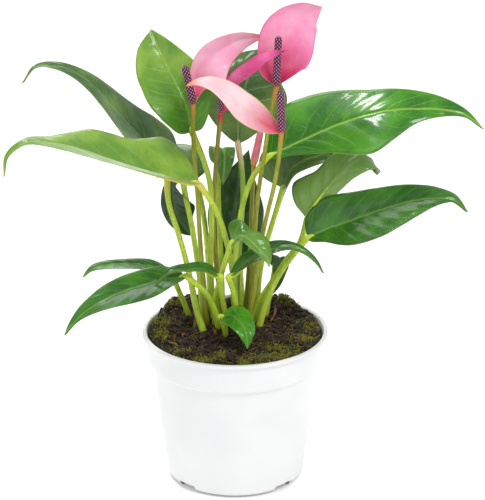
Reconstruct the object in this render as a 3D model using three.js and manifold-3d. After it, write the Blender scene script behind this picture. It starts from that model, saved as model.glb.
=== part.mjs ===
// A potted anthurium: one flowering plant in a 12 cm plastic nursery pot of soil.
// Millimetres, +Z up. The origin is the middle of the pot's underside, and -Y is the front.
import * as THREE from "three";
import { mergeVertices } from "three/addons/utils/BufferGeometryUtils.js";
import Module from "manifold-3d";

const wasm = await Module();
wasm.setup();

// ---------------------------------------------------------------- driving dimensions
const POT_HEIGHT = 100;
const RIM_RADIUS = 60; // outside of the rolled lip
const LIP_WIDTH = 2.6;
const LIP_HEIGHT = 3;
const LIP_ROUNDING = 0.5;
const COLLAR_HEIGHT = 21; // from the step up to the rim
const COLLAR_TOP_RADIUS = 57.7;
const COLLAR_LOW_RADIUS = 56;
const BODY_TOP_RADIUS = 53.2;
const BODY_LOW_RADIUS = 44.7;
const BASE_ROUNDING = 3;
const WALL = 1.2;
const FLOOR = 1.6;
const NOTCH_COUNT = 4; // drain channels that open under the foot
const NOTCH_WIDTH = 14;
const NOTCH_HEIGHT = 4.5;
const NOTCH_LENGTH = 17;
const DRAIN_RADIUS = 2.5;

const SOIL_BELOW_RIM = 6.5; // at the wall
const MOUND_HEIGHT = 7; // how far the soil rises towards the stems
const SOIL_LUMPS = 0.9;

const PLANT_HEIGHT = 224; // highest petal tip above the soil at the wall
const STALK_RADIUS = 1.75;
const STALK_FOOT_RADIUS = 2.6;
const KNEE_RADIUS = 2.1; // the thicker end of a stalk, just below the blade
const FLOWER_STEM_RADIUS = 1.4;
const FLOWER_STEM_FOOT_RADIUS = 2.1;
const BLADE_THICKNESS = 0.9;
const SPATHE_THICKNESS = 1;
const RIB_DEPTH = 1.1; // how far the midrib stands out under a blade
const SPADIX_RADIUS = 2.7;
const YOUNG_SPADIX_RADIUS = 1.8; // on the flower that has only just opened
const SPADIX_LIFT = 0.8; // from the end of the stem to the foot of the spadix
const ROOTED_DEPTH = 9; // how deep a stalk goes into the soil
const GAP = 0.3; // between pieces that touch

// The plant's points below are drawn for this height, and are scaled to PLANT_HEIGHT.
const DRAWN_HEIGHT = 224;
const PLANT_SCALE = PLANT_HEIGHT / DRAWN_HEIGHT;
const SOIL_LEVEL = POT_HEIGHT - SOIL_BELOW_RIM;

// ---------------------------------------------------------------- colours and finishes
const POT_WHITE = { color: 0xf4f4f2, roughness: 0.38 };
const SOIL_BROWN = { color: 0x2b1c12, roughness: 1 };
const LEAF_LIGHT = { color: 0x6aa63a, roughness: 0.4 };
const LEAF_BRIGHT = { color: 0x35851c, roughness: 0.3 };
const LEAF_DARK = { color: 0x1f6a2c, roughness: 0.35 };
const LEAF_BLUE = { color: 0x3f7347, roughness: 0.4 };
const STALK_GREEN = { color: 0x86b42a, roughness: 0.45 };
const FLOWER_STEM_OLIVE = { color: 0x8f8a22, roughness: 0.45 };
const SPATHE_PINK = { color: 0xf39ac0, roughness: 0.35 };
const SPATHE_PALE = { color: 0xf8c9d2, roughness: 0.35 };
const SPATHE_HOT = { color: 0xe5559a, roughness: 0.35 };
const SPADIX_PURPLE = { color: 0x46143c, roughness: 0.5 };
const SHEATH_BROWN = { color: 0x9a7a48, roughness: 0.8 };

// ---------------------------------------------------------------- the plant's points
// Millimetres from the middle of the soil: x to the right, y away from the front, z up from the
// soil at the wall. A stalk is listed from the soil up. A rib is a blade's midrib, from the end of
// its stalk to its tip. face is the way the upper side looks at the base, the middle and the tip.
// left and right are the half widths at WIDTH_STATIONS, seen along the rib with the upper side up.
// fold is how far the left and the right half rise from flat, in degrees at the base and the tip,
// curl is how much further they turn by the edge, and lobe is how far they sweep back past the stalk.
const WIDTH_STATIONS = [0, 0.1, 0.3, 0.5, 0.7, 0.9, 1]; // shares of the rib; both ends have no width
const ovate = (most) => [0.78, 1, 0.88, 0.6, 0.2].map((share) => share * most);
const LEAVES = [
  {
    name: "left_arching",
    finish: LEAF_LIGHT,
    stalk: [[1, 5, 0], [0, 2, 25], [-2, -2, 50], [-6, -6, 72], [-13, -14, 96], [-23, -19, 113]],
    rib: [[-45, -26, 121], [-77, -34, 133], [-113, -42, 146], [-127, -44, 148], [-137, -46, 143], [-142, -48, 127]],
    face: [[0, 0, 1], [0, 0.1, 1], [-0.9, 0.1, 0.5]],
    left: [20, 22, 20, 10, 2], right: [33, 27, 27, 12, 3], fold: [[12, 14], [24, 22]], curl: [4, 8], lobe: 10,
  },
  {
    name: "left_dark",
    finish: LEAF_BLUE,
    stalk: [[-18, -5, 0], [-23, -3, 14], [-31, 3, 51], [-38, 9, 75], [-43, 16, 90], [-44, 21, 103]],
    rib: [[-55, 24, 122], [-74, 24, 145], [-97, 21, 171], [-115, 17, 179], [-126, 13, 179], [-134, 8, 170]],
    face: [[0.6, -0.3, 0.65], [0.5, -0.25, 0.8], [-0.2, -0.1, 1]],
    left: [19, 24, 15, 8, 3], right: [24, 20, 13, 4, 1], fold: [[6, 10], [8, 10]], curl: [4, 4], lobe: 8,
  },
  {
    name: "top_left",
    finish: LEAF_LIGHT,
    stalk: [[-12, 13, 0], [-15, 13, 22], [-16, 14, 46], [-15, 14, 78], [-17, 12, 108], [-27, 8, 138]],
    rib: [[-31, 13, 154], [-37, 19, 166], [-43, 26, 176], [-49, 33, 187], [-53, 37, 197]],
    face: [[0.35, -0.8, 0.5], [0.1, -0.8, 0.6], [-0.2, -0.8, 0.5]],
    left: [15, 23.5, 23.7, 19.7, 10.5], right: [10, 19, 18, 13, 6], fold: [[14, 10], [14, 10]], curl: [6, 6], lobe: 8,
  },
  {
    name: "top_back",
    finish: LEAF_BLUE,
    stalk: [[-1, 21, 0], [1, 25, 25], [3, 30, 57], [5, 35, 86], [4, 38, 106], [2, 40, 119]],
    rib: [[2, 42, 134], [5, 47, 150], [10, 54, 164], [18, 61, 177]],
    face: [[0, -0.9, 0.3], [0.1, -0.8, 0.5], [0.1, -0.6, 0.8]],
    left: [7, 24, 27, 20, 8], right: [9, 26, 30, 24, 10], fold: [[22, 12], [22, 12]], curl: [6, 6], lobe: 4,
  },
  {
    name: "top_right",
    finish: LEAF_BRIGHT,
    stalk: [[2, 14, 0], [-1, 11, 30], [1, 11, 60], [5, 12, 88], [11, 14, 105], [21, 15, 119]],
    rib: [[35, 12, 127], [47, 9, 134], [69, 3, 146], [94, -2, 155], [115, -4, 157], [140, -6, 155], [156, -7, 145]],
    face: [[-0.3, -0.5, 0.8], [-0.2, -0.35, 0.9], [0.4, -0.3, 0.9]],
    left: [26, 28.5, 19, 13.5, 5], right: [5, 19, 30, 10, 1.5], fold: [[14, 10], [-14, -10]], curl: [4, -6], lobe: 12,
  },
  {
    name: "right_twisted",
    finish: LEAF_LIGHT,
    stalk: [[11, 11, 0], [15, 10, 19], [23, 9, 34], [32, 8, 50], [40, 7, 61], [44, 6, 70], [46, 6, 80]],
    rib: [[54, 5, 94], [63, 4, 107], [72, 6, 117], [80, 11, 121], [87, 17, 116], [91, 21, 104]],
    face: [[0.4, 0.85, -0.15], [0.3, 0.8, -0.4], [-0.4, -0.4, -0.8]],
    left: [4, 6.5, 8.5, 11, 8], right: [21, 16, 15, 12, 6], fold: [[16, 8], [16, 8]], curl: [6, 6], lobe: 6,
  },
  {
    name: "right_lower",
    finish: LEAF_DARK,
    stalk: [[14, 2, 0], [19, 2, 21], [26, 1, 39], [35, -1, 55], [42, -3, 64], [46, -5, 71]],
    rib: [[57, -8, 78], [69, -12, 84], [85, -17, 92], [103, -21, 100], [124, -24, 105], [138, -25, 103], [146, -26, 97]],
    face: [[-0.3, -0.6, 0.7], [-0.2, -0.5, 0.8], [0.2, -0.35, 0.9]],
    left: [18, 19, 15, 11, 6], right: [8, 24, 26, 15, 2], fold: [[14, 10], [14, 10]], curl: [4, 4], lobe: 8,
  },
  {
    name: "right_hooked",
    finish: LEAF_BLUE,
    stalk: [[14, 27, 0], [15, 29, 25], [19, 31, 49], [24, 32, 66], [28, 32, 81], [31, 31, 92]],
    rib: [[37, 30, 106], [48, 30, 113], [60, 31, 115], [74, 33, 110]],
    face: [[-0.6, -0.5, 0.5], [-0.1, -0.5, 0.8], [0.5, -0.3, 0.8]],
    left: ovate(22), right: ovate(22), fold: [[34, 26], [34, 26]], curl: [8, 8], lobe: 8,
  },
  {
    name: "low_left",
    finish: LEAF_DARK,
    stalk: [[-10, -3, 0], [-11, -5, 13], [-14, -9, 26], [-19, -15, 38], [-25, -20, 47], [-31, -22, 52]],
    rib: [[-44, -27, 52], [-56, -33, 50.5], [-69, -39, 48.5], [-82, -45, 45], [-94, -49, 38], [-107, -53, 25]],
    face: [[0, -0.4, 0.9], [-0.1, -0.4, 0.9], [-0.3, -0.4, 0.9]],
    left: [8, 16, 15, 9, 2], right: [9, 12, 10.5, 7, 3.5], fold: [[12, 12], [12, 12]], curl: [4, 4], lobe: 5,
  },
  {
    name: "low_left_rear",
    finish: LEAF_DARK,
    stalk: [[-28, 20, 0], [-31, 19, 10], [-34, 16, 20], [-38, 12, 32], [-41, 8, 41]],
    rib: [[-52, 6, 47], [-64, 4, 50], [-78, 1, 51], [-89, -2, 50], [-98, -5, 45]],
    face: [[0, -0.1, 1], [-0.1, -0.1, 1], [-0.3, -0.1, 0.9]],
    left: [9, 15, 15, 11, 3], right: [6, 7, 6, 5, 3], fold: [[10, 10], [10, 10]], curl: [4, 4], lobe: 4,
  },
  {
    name: "narrow_left",
    finish: LEAF_DARK,
    stalk: [[-5, 1, 0], [-6, -2, 15], [-8, -8, 30], [-9, -14, 42], [-9, -17, 50]],
    rib: [[-19, -21, 56], [-29, -26, 58], [-40, -32, 59], [-51, -36, 51]],
    face: [[0, -0.3, 1], [0, -0.2, 1], [-0.3, -0.2, 1]],
    left: ovate(5.5), right: ovate(6), fold: [[20, 16], [20, 16]], curl: [4, 4], lobe: 1,
  },
  {
    name: "narrow_right",
    finish: LEAF_DARK,
    stalk: [[0, -5, 0], [1, -7, 14], [0, -10, 30], [-2, -14, 42], [-4, -16, 49]],
    rib: [[6, -15, 57], [16, -15, 64], [27, -14, 68], [38, -12, 67], [50, -13, 60], [57, -14, 51]],
    face: [[-0.4, -0.3, 0.9], [-0.1, -0.3, 1], [0.5, -0.2, 0.9]],
    left: ovate(7), right: ovate(9), fold: [[22, 16], [22, 16]], curl: [4, 4], lobe: 2,
  },
  {
    name: "centre_drooping",
    finish: LEAF_LIGHT,
    stalk: [[-12, 5, 0], [-13, 0, 20], [-11, -6, 38], [-7, -12, 55], [-2, -18, 73]],
    rib: [[4, -23, 80], [9, -26, 78], [14, -29, 74], [19, -31, 69], [22, -32, 62]],
    face: [[0, -0.5, 0.85], [0.2, -0.7, 0.6], [0.5, -0.8, 0.2]],
    left: [15, 7, 9.5, 8, 2.5], right: [4, 4, 4, 3, 1.5], fold: [[5, 0], [8, 4]], curl: [-4, 4], lobe: 10,
  },
  {
    name: "front_small",
    finish: LEAF_BRIGHT,
    stalk: [[-5, -12, 0], [-6, -14, 8], [-7, -16, 16], [-9, -19, 23]],
    rib: [[-3, -24, 26], [3, -30, 24], [7, -36, 19], [8, -41, 10]],
    face: [[0.2, -0.4, 0.9], [0.3, -0.6, 0.7], [0.3, -0.9, 0.3]],
    left: ovate(10), right: ovate(10), fold: [[8, 6], [8, 6]], curl: [4, 4], lobe: 2,
  },
  {
    name: "hanging_rear",
    finish: LEAF_BLUE,
    stalk: [[-21, 11, 0], [-22, 15, 26], [-25, 18, 50], [-29, 22, 76], [-33, 24, 94], [-34, 25, 101]],
    rib: [[-39, 29, 97], [-40, 30, 89], [-39, 30, 78], [-35, 29, 68], [-28, 28, 60]],
    face: [[-0.8, -0.3, 0.6], [-0.2, -1, 0.1], [0, -1, 0]],
    left: [5, 13, 15, 11, 4], right: [5, 8, 8.5, 7, 3], fold: [[10, 8], [10, 8]], curl: [4, 4], lobe: 0,
  },
  {
    name: "inner_rear",
    finish: LEAF_BLUE,
    stalk: [[-9, 22, 0], [-9, 27, 30], [-10, 32, 60], [-11, 37, 90], [-10, 39, 104]],
    rib: [[-9, 39, 114], [-8, 37, 118], [-7, 34, 114], [-7, 32, 104], [-8, 31, 94]],
    face: [[0, 0.9, 0.4], [0, 0.1, 1], [0, -0.9, 0.2]],
    left: ovate(8), right: ovate(8), fold: [[8, 8], [8, 8]], curl: [0, 0], lobe: 2,
  },
  {
    name: "upright_rear",
    finish: LEAF_BLUE,
    stalk: [[0, 30, 0], [0, 33, 12], [0, 37, 24], [0, 41, 34]],
    rib: [[1, 44, 36], [0, 45, 54], [1, 46, 75], [4, 47, 95], [9, 47, 113]],
    face: [[0.1, -1, 0.1], [0.1, -1, 0.2], [0, -1, 0.2]],
    left: [12, 18, 19, 13, 4], right: [12, 17, 18, 12, 4], fold: [[10, 6], [10, 6]], curl: [6, 6], lobe: 2,
  },
  {
    name: "low_right_rear",
    finish: LEAF_DARK,
    stalk: [[19, 19, 0], [21, 24, 12], [24, 30, 24], [26, 35, 33]],
    rib: [[27, 33, 43], [30, 29, 44], [29, 25, 38], [27, 22, 29], [24, 20, 21]],
    face: [[0.3, 0.8, 0.5], [0.3, -0.5, 0.9], [0.5, -0.8, 0.3]],
    left: ovate(6), right: ovate(6), fold: [[12, 8], [12, 8]], curl: [2, 2], lobe: 1,
  },
  {
    name: "rear_high",
    finish: LEAF_BLUE,
    stalk: [[-15, 29, 0], [-17, 35, 28], [-19, 42, 54], [-22, 47, 76], [-26, 52, 90]],
    rib: [[-33, 58, 99], [-41, 66, 104], [-50, 75, 103], [-58, 83, 96], [-63, 88, 84]],
    face: [[-0.3, 0.1, 1], [-0.2, 0.4, 0.9], [-0.5, 0.7, 0.6]],
    left: ovate(15), right: ovate(15), fold: [[16, 12], [16, 12]], curl: [6, 6], lobe: 8,
  },
  {
    name: "rear_low",
    finish: LEAF_BLUE,
    stalk: [[5, 37, 0], [4, 44, 18], [3, 52, 36], [2, 60, 50]],
    rib: [[2, 69, 58], [3, 79, 62], [3, 90, 60], [2, 101, 52]],
    face: [[0, 0.2, 1], [0, 0.4, 1], [0.1, 0.7, 0.8]],
    left: ovate(15), right: ovate(15), fold: [[14, 12], [14, 12]], curl: [6, 6], lobe: 6,
  },
];

// A flower is a spadix in a spathe, on a stem. The spathe starts beside the end of the stem, on the
// side that "from" points to.
const FLOWERS = [
  {
    name: "left",
    finish: SPATHE_PINK,
    stem: [[-18, 3, 0], [-20, 5, 31], [-22, 6, 58], [-24, 5, 100], [-26, 3, 130], [-26, 0, 159]],
    spadix: [[-27, -1, 165], [-29, -2, 175], [-31, -3, 185]],
    from: [0.5, 1, 0],
    rib: [[-24, 9, 168], [-17, 13, 182], [-6, 15, 192], [7, 14, 198], [21, 10, 200]],
    face: [[-0.5, -0.8, 0.3], [-0.2, -0.9, -0.3], [0.1, -0.8, -0.6]],
    left: [3, 8, 11.5, 9.5, 4.5], right: [13, 18, 12.5, 8.5, 3], fold: [[20, 8], [20, 8]], curl: [14, 14], lobe: 0,
  },
  {
    name: "front",
    finish: SPATHE_PALE,
    stem: [[6, -2, 0], [11, -2, 28], [14, -4, 52], [18, -7, 77], [25, -14, 112], [28, -18, 134], [29, -20, 147]],
    spadix: [[29, -21, 153], [28.5, -22, 164], [28, -23, 175]],
    from: [-1, 0.3, 0],
    rib: [[19, -19, 152], [7, -21, 162], [-4, -24, 173], [-17, -28, 181], [-30, -31, 181]],
    face: [[0.2, -0.5, 0.8], [0.4, -0.5, 0.7], [0, -0.4, 0.9]],
    left: [6, 13, 14, 8, 1.5], right: [6, 10, 9, 7, 3], fold: [[4, 4], [24, 16]], curl: [8, 16], lobe: 3,
  },
  {
    name: "top",
    finish: SPATHE_PINK,
    stem: [[10, 18, 0], [11, 17, 27], [12, 15, 55], [14, 12, 88], [19, 5, 127], [23, 1, 156], [26, -1, 171]],
    spadix: [[26, -3, 178], [26.5, -5, 190], [27, -7, 205]],
    from: [0, 1, 0.2],
    rib: [[27, 7.5, 181], [31, 9.5, 195], [37, 10, 207], [44, 9, 216], [54, 5, 220]],
    face: [[-0.1, -1, 0.2], [0, -1, 0.1], [0.1, -0.9, -0.4]],
    left: [12, 17, 20, 18, 10], right: [14, 20, 19.5, 14.5, 8.5], fold: [[20, 10], [20, 10]], curl: [24, 24], lobe: 3,
  },
  {
    name: "rear",
    finish: SPATHE_HOT,
    stem: [[-5, 14, 0], [-10, 18, 26], [-13, 20, 54], [-14, 20, 81], [-12, 18, 115], [-9, 14, 148]],
    spadix: [[-9, 15, 157], [-10, 16.5, 163], [-10, 18, 168]],
    spadixRadius: YOUNG_SPADIX_RADIUS,
    from: [0.8, -0.4, -0.2],
    rib: [[-3, 13, 156], [-1, 12, 166], [6, 6, 174], [14, -4, 183], [22, -13, 193], [33, -17, 199]],
    face: [[-0.6, 0.4, 0.7], [-0.4, 0.3, 0.8], [-0.2, 0.2, 1]],
    left: [3, 6.5, 7, 6.5, 3], right: [3, 7.5, 8.5, 7.5, 3.5], fold: [[30, 40], [30, 40]], curl: [50, 50], lobe: 1,
  },
];

// A spathe that is still rolled up, on its own stem.
const BUD = {
  stem: [[6, 24, 0], [8, 23, 24], [10, 21, 60], [11, 19, 89], [12, 17, 113]],
  bud: [[13, 16, 119], [15, 14, 130], [17, 11, 143]],
  radius: 2.6,
};

// Dry brown sheaths of old stalks, each a thin curved scale standing in the soil.
const SHEATHS = [
  { name: "left", stalk: [[-26, 1, 0], [-25, 2, 12], [-27, 2, 24]], radius: 1.7 },
  { name: "middle", stalk: [[-11, -10, 0], [-12, -12, 7], [-14, -13, 15]], radius: 1.5 },
];

// ---------------------------------------------------------------- helpers
const vector = ([x, y, z]) => new THREE.Vector3(x, y, z);
const lerp = THREE.MathUtils.lerp;
const radians = THREE.MathUtils.degToRad;

function addPiece(group, name, geometry, finish) {
  const mesh = new THREE.Mesh(geometry, new THREE.MeshStandardMaterial(finish));
  mesh.name = name;
  group.add(mesh);
}

function solidFrom(geometry) {
  const bare = geometry.clone().deleteAttribute("normal").deleteAttribute("uv");
  const merged = mergeVertices(bare, 1e-4);
  const mesh = new wasm.Mesh({
    numProp: 3,
    vertProperties: merged.attributes.position.array,
    triVerts: new Uint32Array(merged.index.array),
  });
  return new wasm.Manifold(mesh);
}

function geometryFrom(solid) {
  const mesh = solid.getMesh();
  const geometry = new THREE.BufferGeometry();
  geometry.setAttribute("position", new THREE.BufferAttribute(mesh.vertProperties, 3));
  geometry.setIndex(new THREE.BufferAttribute(mesh.triVerts, 1));
  return geometry;
}

// Moves every vertex of a geometry to the place that "remap" gives for it.
function remapped(geometry, remap) {
  const position = geometry.attributes.position;
  for (let i = 0; i < position.count; i++) {
    const place = remap(new THREE.Vector3().fromBufferAttribute(position, i));
    position.setXYZ(i, place.x, place.y, place.z);
  }
  return geometry;
}

// A lathe's profile is turned about Y, and the pot stands along Z.
function turned(profile, segments) {
  const points = profile.map(([radius, height]) => new THREE.Vector2(radius, height));
  return new THREE.LatheGeometry(points, segments).rotateX(Math.PI / 2);
}

// The direction that a blade's upper side looks in, at a share u of the way to its tip.
function faceAt(face, u) {
  const [base, middle, tip] = face.map((direction) => vector(direction).normalize());
  const blended = u < 0.5 ? base.lerp(middle, 2 * u) : middle.lerp(tip, 2 * u - 1);
  return blended.normalize();
}

// ---------------------------------------------------------------- pot
const POT_SEGMENTS = 56;
const innerWall = [
  [BODY_LOW_RADIUS - WALL, BASE_ROUNDING],
  [BODY_TOP_RADIUS - WALL, POT_HEIGHT - COLLAR_HEIGHT],
  [COLLAR_LOW_RADIUS - WALL, POT_HEIGHT - COLLAR_HEIGHT + WALL],
  [COLLAR_TOP_RADIUS - WALL, POT_HEIGHT - LIP_HEIGHT],
  [RIM_RADIUS - LIP_WIDTH, POT_HEIGHT],
];

function potRadiusInside(height) {
  const above = Math.max(1, innerWall.findIndex(([, level]) => level >= height));
  const [lowRadius, low] = innerWall[above - 1];
  const [highRadius, high] = innerWall[above];
  return lerp(lowRadius, highRadius, (height - low) / (high - low));
}

const notchAngle = (index) => Math.PI / 4 + (index * 2 * Math.PI) / NOTCH_COUNT;

// One of the boxes around the foot, grown by "extra" on every side but the lowest.
function cornerBox(index, extra) {
  const outer = BODY_LOW_RADIUS + 1;
  const inner = BODY_LOW_RADIUS - NOTCH_LENGTH - extra;
  const height = NOTCH_HEIGHT + extra;
  const box = new THREE.BoxGeometry(outer - inner, NOTCH_WIDTH + 2 * extra, height + 1);
  box.translate((outer + inner) / 2, 0, (height - 1) / 2);
  return solidFrom(box.rotateZ(notchAngle(index)));
}

function makePot() {
  const bevel = 0.3 * BASE_ROUNDING;
  const outside = [
    [0, 0],
    [BODY_LOW_RADIUS - BASE_ROUNDING, 0],
    [BODY_LOW_RADIUS - bevel, bevel],
    [BODY_LOW_RADIUS, BASE_ROUNDING],
    [BODY_TOP_RADIUS, POT_HEIGHT - COLLAR_HEIGHT],
    [COLLAR_LOW_RADIUS, POT_HEIGHT - COLLAR_HEIGHT],
    [COLLAR_TOP_RADIUS, POT_HEIGHT - LIP_HEIGHT],
    [RIM_RADIUS - LIP_ROUNDING, POT_HEIGHT - LIP_HEIGHT + LIP_ROUNDING],
    [RIM_RADIUS, POT_HEIGHT - LIP_HEIGHT + 2 * LIP_ROUNDING],
    [RIM_RADIUS, POT_HEIGHT - LIP_ROUNDING],
    [RIM_RADIUS - LIP_ROUNDING, POT_HEIGHT],
  ];
  const inside = [...innerWall].reverse();
  const cavityFloor = [
    [BODY_LOW_RADIUS - WALL - 1, FLOOR],
    [0, FLOOR],
  ];
  const shell = solidFrom(turned([...outside, ...inside, ...cavityFloor], POT_SEGMENTS));
  const block = solidFrom(turned([...outside, [0, POT_HEIGHT]], POT_SEGMENTS));
  let pot = shell;
  for (let index = 0; index < NOTCH_COUNT; index++) {
    pot = pot.add(cornerBox(index, WALL).intersect(block));
  }
  for (let index = 0; index < NOTCH_COUNT; index++) {
    const drain = new THREE.CylinderGeometry(DRAIN_RADIUS, DRAIN_RADIUS, 4 * NOTCH_HEIGHT, 16);
    drain.rotateX(Math.PI / 2).translate(BODY_LOW_RADIUS - NOTCH_LENGTH / 2 - 2, 0, NOTCH_HEIGHT);
    drain.rotateZ(notchAngle(index));
    pot = pot.subtract(cornerBox(index, 0)).subtract(solidFrom(drain));
  }
  return geometryFrom(pot);
}

// ---------------------------------------------------------------- soil
const SOIL_SEGMENTS = 48;

// Soft lumps over the top of the soil that fade out at the wall.
function soilTop(x, y) {
  const share = Math.min(1, Math.hypot(x, y) / potRadiusInside(SOIL_LEVEL));
  const mound = MOUND_HEIGHT * (1 - share ** 2.2);
  const lumps = Math.sin(0.31 * x + 1.1) * Math.cos(0.27 * y - 0.6) + 0.6 * Math.sin(0.5 * y + 0.35 * x);
  return SOIL_LEVEL + mound + SOIL_LUMPS * lumps * (1 - share ** 4);
}

function makeSoil(stalks) {
  const radiusAt = (height) => potRadiusInside(height) - GAP;
  const step = POT_HEIGHT - COLLAR_HEIGHT;
  const wall = [BASE_ROUNDING, step, step + WALL, SOIL_LEVEL].map((height) => [radiusAt(height), height]);
  const top = [0.9, 0.75, 0.6, 0.45, 0.3, 0.15].map((share) => [share * radiusAt(SOIL_LEVEL), SOIL_LEVEL]);
  const low = [radiusAt(BASE_ROUNDING) - 1, FLOOR + GAP];
  const profile = [[0, FLOOR + GAP], low, ...wall, ...top, [0, SOIL_LEVEL]];
  const body = remapped(turned(profile, SOIL_SEGMENTS), (point) => {
    const onTop = point.z > SOIL_LEVEL - 0.01;
    return onTop ? point.setZ(soilTop(point.x, point.y)) : point;
  });
  let soil = solidFrom(body);
  for (let index = 0; index < NOTCH_COUNT; index++) {
    soil = soil.subtract(cornerBox(index, WALL + GAP));
  }
  for (const stalk of stalks) {
    soil = soil.subtract(solidFrom(stalk));
  }
  return geometryFrom(soil);
}

// ---------------------------------------------------------------- stalks and stems
const STALK_SIDES = 8;

// The points as drawn, at the plant's scale. The first one sits in the soil, at its own depth.
function plantCurve(points) {
  const scaled = points.map((point) => vector(point).multiplyScalar(PLANT_SCALE));
  return new THREE.CatmullRomCurve3(scaled, false, "centripetal");
}

function stalkCurve(points) {
  const [foot, next] = [vector(points[0]), vector(points[1])];
  const down = foot.clone().sub(next).normalize();
  const rooted = foot.clone().addScaledVector(down, ROOTED_DEPTH / Math.abs(down.z));
  return plantCurve([rooted.toArray(), ...points]);
}

// A round bar along a curve. radiusAt gives its radius at a share u of the way along.
function barAlong(curve, radiusAt, steps, sides = STALK_SIDES) {
  const frames = curve.computeFrenetFrames(steps, false);
  const bar = new THREE.CylinderGeometry(1, 1, 1, sides, steps);
  return remapped(bar, (point) => {
    const row = Math.round((point.y + 0.5) * steps);
    const radius = radiusAt(row / steps);
    return curve
      .getPointAt(row / steps)
      .addScaledVector(frames.normals[row], point.x * radius)
      .addScaledVector(frames.binormals[row], -point.z * radius);
  });
}

function stalkRadius(foot, middle, knee, kneeLength, length) {
  return (u) => {
    const fromTop = (1 - u) * length;
    const swelling = THREE.MathUtils.smoothstep(kneeLength - fromTop, 0, 0.5 * kneeLength);
    return PLANT_SCALE * (lerp(foot, middle, Math.min(1, u / FOOT_SHARE)) * (1 - swelling) + knee * swelling);
  };
}

const KNEE_LENGTH = 13;
const FOOT_SHARE = 0.55; // of a stalk, over which the foot tapers to the middle's radius
const STALK_STEP = 17; // length of stalk for each station

// A stalk or stem as a piece of the plant, and the wider one that its place in the soil is cut by.
function growStalk(points, foot, middle, knee) {
  const curve = stalkCurve(points);
  const length = curve.getLength() / PLANT_SCALE;
  const steps = THREE.MathUtils.clamp(Math.round(length / STALK_STEP), 4, 8);
  const radius = stalkRadius(foot, middle, knee, KNEE_LENGTH, length);
  return {
    curve,
    endRadius: radius(1),
    geometry: barAlong(curve, radius, steps),
    socket: barAlong(curve, (u) => radius(u) + GAP, steps).translate(0, 0, -GAP),
  };
}

// ---------------------------------------------------------------- blades and spathes
// Around one station of a blade: the share of the half width, the side, and top (1) or under (-1).
const BLADE_RING = [
  [1, 1, 0],
  [0.5, 1, -1],
  [0.1, 1, -1],
  [0, -1, -1],
  [0.1, -1, -1],
  [0.5, -1, -1],
  [1, -1, 0],
  [0.5, -1, 1],
  [0, 1, 1],
  [0.5, 1, 1],
];
const RIB_INDEX = 3;
const LONG_BLADE = 70; // leaves over this length have more stations
const STATION_CROWDING = 1.15; // over 1, the stations stand closer together at the base
const LOBE_SHARE = 0.3; // of the rib, over which the lobes sweep back

function halfWidth(widths) {
  const curve = new THREE.CubicInterpolant(WIDTH_STATIONS, [0, ...widths, 0], 1);
  return (u) => Math.max(0.2, curve.evaluate(u)[0]) * PLANT_SCALE;
}

// A thin curved blade: a sphere's rings become the stations along the rib, and its poles the
// base and the tip.
function bladeAlong(curve, spec, thickness, stations) {
  const { face, fold, curl, lobe } = spec;
  const half = { 1: halfWidth(spec.left), [-1]: halfWidth(spec.right) };
  const sphere = new THREE.SphereGeometry(1, BLADE_RING.length, stations + 1);
  let vertex = 0;
  return remapped(sphere, () => {
    const row = Math.floor(vertex / (BLADE_RING.length + 1));
    const column = vertex % (BLADE_RING.length + 1) % BLADE_RING.length;
    vertex += 1;
    const u = (row / (stations + 1)) ** STATION_CROWDING;
    const centre = curve.getPointAt(u);
    if (row === 0 || row === stations + 1) return centre;
    const along = curve.getTangentAt(u);
    const up = faceAt(face, u);
    up.addScaledVector(along, -up.dot(along)).normalize();
    const leftward = new THREE.Vector3().crossVectors(up, along);
    const [share, side, layer] = BLADE_RING[column];
    const width = half[side](u) * share;
    const which = side === 1 ? 0 : 1;
    const slope = radians(lerp(...fold[which], u));
    const middle = slope + radians((curl[which] * share) / 2);
    const edge = slope + radians(curl[which] * share);
    const rib = column === RIB_INDEX ? RIB_DEPTH * (1 - u) : 0;
    const sweep = Math.max(0, 1 - u / LOBE_SHARE) ** 2 * share ** 1.3 * lobe * PLANT_SCALE;
    const thin = thickness * (share === 1 ? 0 : 0.5) + rib;
    return centre
      .addScaledVector(leftward, side * width * Math.cos(middle))
      .addScaledVector(up, width * Math.sin(middle))
      .addScaledVector(along, -sweep)
      .addScaledVector(up, layer * thin * Math.cos(edge))
      .addScaledVector(leftward, -layer * side * (share > 0 ? 1 : 0) * thin * Math.sin(edge));
  });
}

// The start of a blade on the end of its stalk, far enough out that the two don't meet.
function bladeCurve(stalk, spec, sideways) {
  const end = stalk.curve.getPointAt(1);
  const axis = stalk.curve.getTangentAt(1);
  const first = vector(spec.rib[0]).multiplyScalar(PLANT_SCALE);
  const out = sideways ? vector(sideways).normalize() : first.clone().sub(end).normalize();
  const across = Math.sqrt(Math.max(0, 1 - out.dot(axis) ** 2));
  const start = end.addScaledVector(out, GAP + across * stalk.endRadius);
  const points = spec.rib.map((point) => vector(point).multiplyScalar(PLANT_SCALE));
  return new THREE.CatmullRomCurve3([start, ...points], false, "centripetal");
}

// ---------------------------------------------------------------- spadix and bud
function spadixAlong(points, radius, start) {
  const scaled = points.map((point) => vector(point).multiplyScalar(PLANT_SCALE));
  const curve = new THREE.CatmullRomCurve3([start, ...scaled], false, "centripetal");
  const taper = (u) => radius * PLANT_SCALE * Math.sqrt(Math.max(0, 1 - (0.95 * u) ** 6)) * lerp(1, 0.8, u);
  const waist = (u) => taper(u) * lerp(0.7, 1, Math.min(1, u / 0.15));
  return barAlong(curve, waist, 7);
}

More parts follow.
